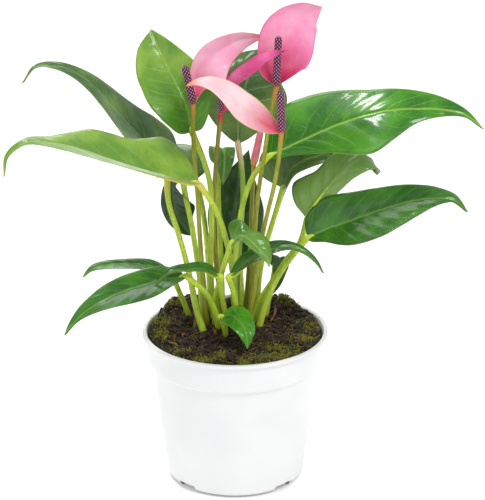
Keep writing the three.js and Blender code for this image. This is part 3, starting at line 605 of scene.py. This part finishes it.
LEAF_STYLES = {
    "left_arching": leaf_style("lime_tip"),
    "left_dark": leaf_style("grey_tip", ripple=0.9),
    "top_left": leaf_style("lime", veins=8),
    "top_back": leaf_style("grey", veins=7),
    "top_right": leaf_style("bright", veins=10, ripple=0.9),
    "right_twisted": leaf_style("turned", veins=7),
    "right_lower": leaf_style("deep", veins=10),
    "right_hooked": leaf_style("grey", veins=7),
    "low_left": leaf_style("deep", veins=8),
    "low_left_rear": leaf_style("deep", veins=7, ripple=0.4),
    "narrow_left": leaf_style("deep", veins=6, ripple=0.3, quilt=0.3),
    "narrow_right": leaf_style("deep", veins=6, ripple=0.3, quilt=0.3),
    "centre_drooping": leaf_style("middle", veins=5, ripple=0.4),
    "front_small": leaf_style("fresh", veins=5, ripple=0.4, quilt=0.5),
    "hanging_rear": leaf_style("shade", veins=6),
    "inner_rear": leaf_style("middle", veins=5, ripple=0.4),
    "upright_rear": leaf_style("shade", veins=6, ripple=0.4),
    "low_right_rear": leaf_style("shade", veins=4, ripple=0.3, quilt=0.3),
    "rear_high": leaf_style("grey", veins=8),
    "rear_low": leaf_style("shade", veins=7),
}
STALK_LOOKS = {"left_dark": STALK_GOLD, "left_arching": STALK_GOLD, "top_back": STALK_CREAM}
STEM_SAMPLES = 64


def stem_piece(node, look, onward=(), onward_radii=()):
    """A stalk as a fine tube, carried on past its CAD end along the given points."""
    centres, radii = bar_rings(node)
    mark = np.linalg.norm(np.diff(centres, axis=0), axis=1).sum()
    fine = np.linspace(0, 1, STEM_SAMPLES)
    path, reach = through(centres, fine), through(radii, fine)
    if len(onward):
        tail = np.concatenate([path[-6:-5], path[-1:], onward])
        steps = np.linspace(0, 1, 9 * len(onward))
        path = np.concatenate([path[:-6], through(tail, steps)])
        reach = np.concatenate([reach[:-6], np.interp(steps, np.linspace(0, 1, len(tail)),
                                                      [reach[-6], reach[-1], *onward_radii])])
    shape = tube(Shape(), path, reach)
    total = np.linalg.norm(np.diff(path, axis=0), axis=1).sum()
    shape.values[-1][:, 2] *= total / mark
    piece = shape.build(node + "_fine", look.material)
    stand_for(piece, node)


for number, (leaf, style) in enumerate(LEAF_STYLES.items()):
    stalk = leaf + "_stalk"
    foot = bar_rings(stalk)[0][-1]
    grid, normal, low = blade_piece(leaf + "_blade", leaf + "_leaf", foot, style, number)
    rows = [int(ALONG * share) for share in (0.05, 0.12, 0.22, 0.34)]
    under = low[rows, ACROSS // 2] + 0.35 * MM * normal[rows, ACROSS // 2]
    stem_piece(stalk, STALK_LOOKS.get(leaf, STALK), under, [1.5 * MM, 1.15 * MM, 0.8 * MM, 0.4 * MM])

SPATHE_STYLE = {"veins": 4, "rake": 0.1, "ripple": 0.35, "quilt": 0.0, "groove": 0.25, "keel": 0.5}
SPADIX = spadix_look()
SPADIX_CAP = 0.93  # the share of a spadix from which its end is rounded


def lattice(turn, length):
    phase_one = SPIRALS * turn + 2 * math.pi * length / SPIRAL_STEP
    phase_two = SPIRALS * turn - 2 * math.pi * length / SPIRAL_STEP
    return 0.12 * MM * (-np.cos(phase_one) - np.cos(phase_two))


for number, flower in enumerate(SPATHE_LOOKS):
    stem, spadix = flower + "_flower_stem", flower + "_spadix"
    top = bar_rings(stem)[0][-1]
    centres, radii = bar_rings(spadix)
    style = {**SPATHE_STYLE, "look": SPATHE_LOOKS[flower]}
    blade_piece(flower + "_petal", flower + "_spathe", top, style, 50 + number)
    stem_piece(stem, FLOWER_STEM_RED if flower == "rear" else FLOWER_STEM, centres[:1], [radii[0] * 0.9])
    fine = np.linspace(0, 1, 110)
    path = through(centres, fine)
    cap = np.sqrt(1 - np.clip((fine - SPADIX_CAP) / (1 - SPADIX_CAP), 0, 0.98) ** 2)
    reach = radii.max() * np.interp(fine, [0, 0.12, 1], [0.72, 0.97, 0.84]) * cap
    piece = tube(Shape(), path, reach, 64, lattice).build(flower + "_spadix_fine", SPADIX.material)
    stand_for(piece, spadix)

centres, radii = bar_rings("rolled_bud")
fine = np.linspace(0, 1, 60)
reach = through(radii, fine) * np.sqrt(np.clip(1 - np.clip((fine - 0.85) / 0.15, 0, 1) ** 2 * 0.95, 0, 1))
BUD_TWIST = 90  # radians per metre that the rolled edge winds along the bud


def bud_seam(turn, length):
    return 0.12 * MM * np.cos(turn + BUD_TWIST * length)


bud = tube(Shape(), through(centres, fine), reach, 32, bud_seam)
stand_for(bud.build("rolled_bud_fine", bud_look().material), "rolled_bud")
stem_piece("bud_stem", FLOWER_STEM, centres[:1], [radii[0] * 0.9])


# ---------------------------------------------------------------- dry sheaths
def sheath_piece(node, look, seed):
    """A thin papery scale that half wraps an old stalk and ends in a torn edge."""
    centres, radii = bar_rings(node)
    draw = random.Random(seed)
    rows, columns, paper = 28, 18, 0.25 * MM
    path = through(centres, np.linspace(0, 1, rows))
    reach = through(radii, np.linspace(0, 1, rows))[:, None] * 1.15 + 0.3 * MM
    turn = np.linspace(-1.9, 1.9, columns)[None, :]
    torn = np.array([draw.uniform(0.82, 1.0) for _ in range(columns)])
    share = np.linspace(0, 1, rows)[:, None] * torn[None, :]
    shift = through(path, share.ravel()).reshape(rows, columns, 3)
    outward = np.stack([np.sin(turn) + 0 * share, -np.cos(turn) + 0 * share, 0 * share], axis=-1)
    crinkle = reach * (1 + 0.12 * np.sin(5 * turn + 7 * share)) + 0.5 * MM * share**2
    outer = shift + outward * crinkle[..., None]
    inner = shift + outward * (crinkle - paper)[..., None]
    values = np.zeros(outer.shape)
    shape = Shape()
    shape.sheet(outer, values, flip=True)
    shape.sheet(inner, values)
    for a, b, flip in ((outer[0], inner[0], False), (outer[-1], inner[-1], True),
                       (outer[:, 0], inner[:, 0], True), (outer[:, -1], inner[:, -1], False)):
        shape.sheet(np.stack([a, b]), np.zeros((2, len(a), 3)), flip=not flip)
    stand_for(shape.build(node + "_fine", look.material), node)


SHEATH = sheath_look()
for number, node in enumerate(("left_old_sheath", "middle_old_sheath")):
    sheath_piece(node, SHEATH, 80 + number)


# ---------------------------------------------------------------- pot
def rounded(profile, radii, steps=6):
    """A profile of (radius, height) corners with each corner rounded off."""
    points = [np.array(p, float) for p in profile]
    made = []
    for k, (point, r) in enumerate(zip(points, radii)):
        if not r:
            made.append(point)
            continue
        before, after = points[k - 1], points[k + 1]
        start = point + (before - point) * min(0.45, r / np.linalg.norm(before - point))
        end = point + (after - point) * min(0.45, r / np.linalg.norm(after - point))
        for t in np.linspace(0, 1, steps):
            made.append((1 - t) ** 2 * start + 2 * t * (1 - t) * point + t**2 * end)
    return np.array(made)


def lathe(profile, segments=200):
    """A closed body of revolution from a profile that starts and ends on the axis."""
    turn = np.linspace(0, 2 * math.pi, segments + 1)
    turn[-1] = 0.0
    points = np.zeros((len(profile), segments + 1, 3))
    points[..., 0] = profile[:, :1] * np.cos(turn)
    points[..., 1] = profile[:, :1] * np.sin(turn)
    points[..., 2] = profile[:, 1:]
    shape = Shape()
    shape.sheet(points, np.zeros(points.shape), flip=True)
    return shape


def helper_box(low, high, turn):
    """A box between two corners, turned about Z, as a helper for a boolean."""
    xs, ys, zs = zip(low, high)
    corners = np.array([[x, y, z] for x in xs for y in ys for z in zs])
    c, s = math.cos(turn), math.sin(turn)
    corners[:, :2] = corners[:, :2] @ np.array([[c, s], [-s, c]])
    faces = [[0, 1, 3, 2], [4, 6, 7, 5], [0, 4, 5, 1], [2, 3, 7, 6], [0, 2, 6, 4], [1, 5, 7, 3]]
    return corners, faces


def helper(solids):
    """One unseen mesh object of several closed solids."""
    points, faces = [], []
    for corners, sides in solids:
        faces.extend([[len(points) + i for i in face] for face in sides])
        points.extend(corners.tolist())
    mesh = bpy.data.meshes.new("helper")
    mesh.from_pydata(points, [], faces)
    made = bpy.data.objects.new("helper", mesh)
    bpy.context.scene.collection.objects.link(made)
    return made


def combine(target, other, operation):
    change = target.modifiers.new("combine", "BOOLEAN")
    change.operation, change.object, change.solver = operation, other, "EXACT"
    depsgraph = bpy.context.evaluated_depsgraph_get()
    result = bpy.data.meshes.new_from_object(target.evaluated_get(depsgraph))
    target.modifiers.clear()
    target.data = result
    bpy.data.objects.remove(other)


BODY_LOW, BODY_TOP, COLLAR_LOW, COLLAR_TOP = 44.7, 53.2, 56.0, 57.7
RIM, WALL, FLOOR, STEP, LIP = 60.0, 1.2, 1.6, 79.0, 97.0
CHANNEL_WIDTH, CHANNEL_HEIGHT, CHANNEL_LENGTH, DRAIN = 14.0, 4.5, 17.0, 2.5
CHANNELS, DRAIN_SIDES = 4, 24
outside = [(0, 0), (BODY_LOW - 3, 0), (BODY_LOW, 3), (BODY_TOP, STEP - 0.6), (COLLAR_LOW, STEP + 0.6),
           (COLLAR_TOP, LIP), (RIM, LIP + 0.6), (RIM, 100), (RIM - 2.6, 100)]
outside_round = [0, 2.2, 2.2, 1.4, 1.4, 0.5, 0.9, 0.9, 0.8]
inside = [(COLLAR_TOP - WALL, LIP), (COLLAR_LOW - WALL, STEP + WALL), (BODY_TOP - WALL, STEP),
          (BODY_LOW - WALL, 3), (BODY_LOW - WALL - 1.5, FLOOR), (0, FLOOR)]
inside_round = [1.0, 1.0, 1.0, 1.0, 1.0, 0]
profile = rounded(outside + inside, outside_round + inside_round) * MM
pot = lathe(profile).build("pot_fine", pot_look().material)
channels, covers, drains = [], [], []
for corner in range(CHANNELS):
    turn = math.pi / 4 + corner * 2 * math.pi / CHANNELS
    reach, start, half = BODY_LOW + 1, BODY_LOW - CHANNEL_LENGTH, CHANNEL_WIDTH / 2
    low, high = np.array([start, -half, -1]), np.array([reach, half, CHANNEL_HEIGHT])
    channels.append(helper_box(low * MM, high * MM, turn))
    low = np.array([start - WALL, -half - WALL, 0.4])
    high = np.array([reach, half + WALL, CHANNEL_HEIGHT + WALL])
    covers.append(helper_box(low * MM, high * MM, turn))
    centre = BODY_LOW - CHANNEL_LENGTH / 2 - 2
    ring = [2 * math.pi * k / DRAIN_SIDES for k in range(DRAIN_SIDES)]
    hole = [[centre + DRAIN * math.cos(a), DRAIN * math.sin(a), z] for z in (1.0, 9.0) for a in ring]
    hole = np.array(hole) * MM
    c, s = math.cos(turn), math.sin(turn)
    hole[:, :2] = hole[:, :2] @ np.array([[c, s], [-s, c]])
    after = [(k + 1) % DRAIN_SIDES for k in range(DRAIN_SIDES)]
    sides = [[k, after[k], DRAIN_SIDES + after[k], DRAIN_SIDES + k] for k in range(DRAIN_SIDES)]
    caps = [list(range(DRAIN_SIDES))[::-1], list(range(DRAIN_SIDES, 2 * DRAIN_SIDES))]
    drains.append((hole, [*caps, *sides]))
foot = rounded(outside[:4] + [(0, STEP)], outside_round[:3] + [0, 0]) * MM
kept_covers = helper(covers)
combine(kept_covers, lathe(foot).build("foot", pot.data.materials[0]), "INTERSECT")
combine(pot, kept_covers, "UNION")
combine(pot, helper(channels), "DIFFERENCE")
combine(pot, helper(drains), "DIFFERENCE")
pot.data.shade_smooth()
pot.data.set_sharp_from_angle(angle=math.radians(38))
stand_for(pot, "pot")


# ---------------------------------------------------------------- soil
SOIL = speckled_look("soil_crumbs", 420.0, rgb(8, 5, 3), rgb(44, 31, 20), rgb(150, 122, 80))
CRUMB = speckled_look("soil_lump_crumbs", 420.0, rgb(12, 8, 5), rgb(50, 36, 24), rgb(150, 122, 80))
MOSS = speckled_look("moss", 600.0, rgb(92, 96, 22), rgb(168, 168, 54), rgb(216, 212, 104))
ROOTS = speckled_look("dry_roots", 500.0, rgb(84, 60, 34), rgb(150, 118, 70), rgb(206, 176, 120), 0.8)
BARK = speckled_look("bark", 300.0, rgb(70, 42, 22), rgb(150, 88, 46), rgb(190, 128, 78), 0.8)
ground_points, ground_faces = welded("soil")
ground = BVHTree.FromPolygons([Vector(p) for p in ground_points], ground_faces)
HEADROOM = 0.4


def base_height(x, y):
    """The height of the CAD soil's top, read past the sockets that the stalks stand in."""
    heights = []
    for dx, dy in ((0, 0), (4, 0), (-4, 0), (0, 4), (0, -4)):
        hit = ground.ray_cast(Vector((x + dx * MM, y + dy * MM, HEADROOM)), Vector((0, 0, -1)))[0]
        heights.append(hit.z if hit else 0.0)
    return max(heights)


# Heaps of soil in millimetres: x, y, how wide and how high. The highest stand against the back wall.
HEAPS = ((-39, 31, 14, 8.5), (-28, 43, 12, 5.0), (32, 39, 14, 8.5), (-14, 48, 13, 3.5), (47, 18, 11, 3.5),
         (-49, 4, 13, 3.5), (46, -20, 12, 2.0))
RIM_RISE, RIM_START, RIM_REACH = 2.4, 42, 12  # the soil also rises towards the wall


def heap(x, y):
    """How far the soil is heaped up over the CAD soil."""
    high = 0.0
    for cx, cy, reach, rise in HEAPS:
        away = math.hypot(x / MM - cx, y / MM - cy) / reach
        high += rise * MM * math.exp(-away * away)
    towards_wall = (math.hypot(x, y) / MM - RIM_START) / RIM_REACH
    return high + RIM_RISE * MM * min(1.0, max(0.0, towards_wall))


def soil_height(x, y):
    spot = Vector((x, y, 0.0))
    clods = abs(noise.noise(spot * 170)) * 3.0 + noise.noise(spot * 420 + Vector((5, 0, 0))) * 1.3
    grit = noise.noise(spot * 1100) * 0.7
    return base_height(x, y) + heap(x, y) + (clods + grit - 0.6) * MM


SOIL_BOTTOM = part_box("soil")[0][2]
SOIL_RADIUS = 56.1 * MM  # at the top of the soil
SOIL_SIDE = [(56.1, 91.0), (54.7, 80.4), (51.9, 79.0), (44.0, 5.0), (42.5, 5.0), (0.0, 5.0)]
RINGS, SPOKES = 92, 260
turn = np.linspace(0, 2 * math.pi, SPOKES + 1)
turn[-1] = 0.0
share = np.linspace(0, 1, RINGS)[:, None]
disc = np.zeros((RINGS, SPOKES + 1, 3))
disc[..., 0] = SOIL_RADIUS * share * np.cos(turn)
disc[..., 1] = SOIL_RADIUS * share * np.sin(turn)
for row in range(RINGS):
    for column in range(SPOKES + 1):
        disc[row, column, 2] = soil_height(disc[row, column, 0], disc[row, column, 1])
surface = disc.reshape(-1, 3)
skirt = np.zeros((len(SOIL_SIDE) + 1, SPOKES + 1, 3))
skirt[0] = disc[-1]
for row, (radius, height) in enumerate(SOIL_SIDE, 1):
    skirt[row, :, 0] = radius * MM * np.cos(turn)
    skirt[row, :, 1] = radius * MM * np.sin(turn)
    skirt[row, :, 2] = height * MM
soil_shape = Shape()
soil_shape.sheet(disc, np.zeros(disc.shape), flip=True)
soil_shape.sheet(skirt, np.zeros(skirt.shape), flip=True)
soil = soil_shape.build("soil_fine", SOIL.material)
stand_for(soil, "soil")
rows_at = np.arange(RINGS - 1)[:, None] * (SPOKES + 1) + np.arange(SPOKES)
quads = np.stack([rows_at, rows_at + 1, rows_at + SPOKES + 2, rows_at + SPOKES + 1], -1).reshape(-1, 4)
top_tree = BVHTree.FromPolygons([Vector(p) for p in surface], quads.tolist())


def land(x, y):
    hit = top_tree.ray_cast(Vector((x, y, HEADROOM)), Vector((0, 0, -1)))[0]
    return hit.z if hit else SOIL_BOTTOM


def icosphere():
    """A ball of 80 triangles: an icosahedron with every triangle split in four."""
    g = (1 + 5**0.5) / 2
    corners = [(-1, g, 0), (1, g, 0), (-1, -g, 0), (1, -g, 0), (0, -1, g), (0, 1, g), (0, -1, -g), (0, 1, -g),
               (g, 0, -1), (g, 0, 1), (-g, 0, -1), (-g, 0, 1)]
    points = [Vector(c).normalized() for c in corners]
    faces = [(0, 11, 5), (0, 5, 1), (0, 1, 7), (0, 7, 10), (0, 10, 11), (1, 5, 9), (5, 11, 4), (11, 10, 2),
             (10, 7, 6), (7, 1, 8), (3, 9, 4), (3, 4, 2), (3, 2, 6), (3, 6, 8), (3, 8, 9), (4, 9, 5), (2, 4, 11),
             (6, 2, 10), (8, 6, 7), (9, 8, 1)]
    halves, split = {}, []
    for face in faces:
        middle = []
        for k in range(3):
            pair = tuple(sorted((face[k], face[(k + 1) % 3])))
            if pair not in halves:
                halves[pair] = len(points)
                points.append((points[pair[0]] + points[pair[1]]).normalized())
            middle.append(halves[pair])
        split += [(face[k], middle[k], middle[k - 1]) for k in range(3)] + [tuple(middle)]
    return np.array(points), split


BALL, BALL_FACES = icosphere()


def spot_in_pot(draw, reach=0.053):
    radius, angle = reach * math.sqrt(draw.random()), draw.uniform(0, 2 * math.pi)
    return radius * math.cos(angle), radius * math.sin(angle)


def clod(shape, centre, size, draw):
    """A lumpy, flattened ball of soil."""
    stretch = np.array([draw.uniform(0.7, 1.3), draw.uniform(0.7, 1.3), draw.uniform(0.5, 0.9)])
    offset = Vector((draw.uniform(0, 50), 0, 0))
    bumps = np.array([1 + 0.55 * noise.noise(Vector(p) * 1.7 + offset) for p in BALL])[:, None]
    points = BALL * bumps * stretch * size
    a = draw.uniform(0, 2 * math.pi)
    points[:, :2] = points[:, :2] @ np.array([[math.cos(a), -math.sin(a)], [math.sin(a), math.cos(a)]])
    shape.solid(points + centre, BALL_FACES, [0.0, 0.0, 0.0])


def scattered(name, look, count, seed, small, large, spot):
    """One piece of many clods, small to large millimetres across the half, on spots of the soil."""
    draw = random.Random(seed)
    shape = Shape()
    for _ in range(count):
        x, y = spot(draw)
        size = draw.uniform(small, large) * MM * draw.uniform(0.6, 1.0)
        clod(shape, np.array([x, y, land(x, y) + 0.3 * size]), size, draw)
    shape.build(name, look.material)


scattered("soil_clods", CRUMB, 760, 1, 0.7, 2.3, spot_in_pot)
scattered("soil_lumps", CRUMB, 90, 2, 1.8, 3.2, lambda draw: spot_in_pot(draw, 0.051))
scattered("soil_flecks", ROOTS, 420, 3, 0.3, 0.8, spot_in_pot)


def beside_stalk(draw):
    """A spot by the foot of one of the stalks."""
    x, y = draw.choice(STALK_FEET)
    away, angle = draw.uniform(1.5, 4.5) * MM, draw.uniform(0, 2 * math.pi)
    return x + away * math.cos(angle), y + away * math.sin(angle)


STALK_NODES = [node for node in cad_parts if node.endswith(("_stalk", "_stem"))]
STALK_FEET = [tuple(bar_rings(node)[0][1][:2]) for node in sorted(STALK_NODES)]
scattered("foot_crumbs", CRUMB, 420, 5, 0.7, 2.0, beside_stalk)


def strand(shape, root, direction, length, thick, bend, sides=4, steps=4):
    """A thin closed strand that leaves its root and bends over."""
    t = np.linspace(0, 1, steps)[:, None]
    path = root + direction * length * t + bend * length * t**2
    tube(shape, path, thick * np.linspace(1, 0.45, steps), sides)


MOSS_SPOTS = ((18, -44, 9), (34, -30, 10), (44, -14, 8), (6, -50, 7), (-48, 10, 7), (-40, 30, 8), (-46, -8, 6),
              (30, -42, 7), (46, 6, 7), (-20, -46, 6), (33, 38, 7), (-8, -40, 6), (22, -26, 6), (-34, -34, 6))


def mossy(draw):
    cx, cy, reach = draw.choice(MOSS_SPOTS)
    while True:
        x, y = cx + draw.gauss(0, 0.5) * reach, cy + draw.gauss(0, 0.5) * reach
        if math.hypot(x, y) < 54:
            return x * MM, y * MM


MOSS_STRANDS = 3000
draw = random.Random(7)
moss = Shape()
for _ in range(MOSS_STRANDS):
    x, y = mossy(draw)
    lean = Vector((draw.gauss(0, 0.6), draw.gauss(0, 0.6), 1)).normalized()
    bend = np.array([draw.gauss(0, 0.4), draw.gauss(0, 0.4), -0.25])
    strand(moss, np.array([x, y, land(x, y) - 0.4 * MM]), np.array(lean), draw.uniform(1.6, 4.4) * MM,
           draw.uniform(0.16, 0.36) * MM, bend, 3, 4)
moss.build("moss_tufts", MOSS.material)
scattered("moss_cushions", MOSS, 150, 8, 0.4, 1.1, mossy)


def lying(shape, start, heading, length, thick, draw, sides=5, steps=12, rise=0.5):
    """A root or twig that lies on the soil and follows its lumps."""
    path, x, y = [], start[0], start[1]
    wander = 0.0
    for step in range(steps):
        path.append((x, y, land(x, y) + thick + rise * MM * abs(math.sin(2.4 * step / steps))))
        wander += draw.gauss(0, 0.22)
        stride = length / (steps - 1)
        nx, ny = x + stride * math.cos(heading + wander), y + stride * math.sin(heading + wander)
        if math.hypot(nx, ny) > 0.0545:
            heading += 2.0
            nx, ny = x, y + 0.2 * stride
        x, y = nx, ny
    fine = np.linspace(0, 1, 2 * steps)
    taper = np.interp(fine, [0, 0.1, 0.8, 1], [0.6, 1, 0.8, 0.3])
    tube(shape, through(np.array(path), fine), thick * taper, sides)


ROOT_THREADS, BARK_BITS = 240, 16
draw = random.Random(11)
roots = Shape()
for _ in range(ROOT_THREADS):
    lying(roots, spot_in_pot(draw, 0.05), draw.uniform(0, 6.3), draw.uniform(5, 17) * MM,
          draw.uniform(0.08, 0.18) * MM, draw, rise=1.8)
lying(roots, (-0.047, -0.016), -0.95, 22 * MM, 0.7 * MM, draw, 8)
roots.build("dry_root_threads", ROOTS.material)
bark = Shape()
lying(bark, (0.0265, 0.031), -1.3, 26 * MM, 1.0 * MM, draw, 8, 3, 2.5)
for _ in range(BARK_BITS):
    lying(bark, spot_in_pot(draw, 0.05), draw.uniform(0, 6.3), draw.uniform(3, 7) * MM,
          draw.uniform(0.5, 0.9) * MM, draw, 6, 4)
bark.build("bark_sticks", BARK.material)

# ---------------------------------------------------------------- floor, light and camera
FLOOR_SIZE = 6.0
FLOOR_GREY = 0.92
FLOOR_GLOW = 0.24  # keeps the floor as white as a studio background
WORLD_STRENGTH = 0.58
bpy.ops.mesh.primitive_plane_add(size=FLOOR_SIZE, location=(0, 0, -0.0002))
floor = bpy.context.object
floor.name = "floor"
floor_look = Look("floor_paint", 0.9)
floor_look.shader.inputs["Base Color"].default_value = (FLOOR_GREY, FLOOR_GREY, FLOOR_GREY, 1)
floor_look.shader.inputs["Emission Color"].default_value = (1, 1, 1, 1)
floor_look.shader.inputs["Emission Strength"].default_value = FLOOR_GLOW
floor.data.materials.append(floor_look.material)

world = bpy.data.worlds.new("studio")
world.use_nodes = True
world.node_tree.nodes["Background"].inputs["Color"].default_value = (1, 1, 1, 1)
world.node_tree.nodes["Background"].inputs["Strength"].default_value = WORLD_STRENGTH
bpy.context.scene.world = world
MIDDLE = Vector((0, 0, 0.17))  # what the lamps point at


def softbox(name, place, size, power):
    lamp = bpy.data.lights.new(name, "AREA")
    lamp.energy, lamp.size = power, size
    holder = bpy.data.objects.new(name, lamp)
    holder.location = place
    holder.rotation_euler = (MIDDLE - Vector(place)).to_track_quat("-Z", "Y").to_euler()
    bpy.context.scene.collection.objects.link(holder)


softbox("key_light", (0.55, -0.75, 1.15), 0.4, 7.5)
softbox("fill_light", (-1.0, -0.7, 0.7), 0.9, 2.0)
softbox("back_light", (-0.3, 1.0, 0.9), 0.8, 4.0)
softbox("top_light", (-0.46, 0.24, 1.3), 0.22, 5.0)

camera = bpy.data.objects.new("camera", bpy.data.cameras.new("camera"))
camera.location = (0.0048, -1.4725, 0.7259)
camera.rotation_euler = (math.radians(68.8), 0, 0)
camera.data.lens = 177.9
camera.data.clip_end = 20
bpy.context.scene.collection.objects.link(camera)
bpy.context.scene.camera = camera

bpy.context.scene.view_settings.view_transform = "Standard"
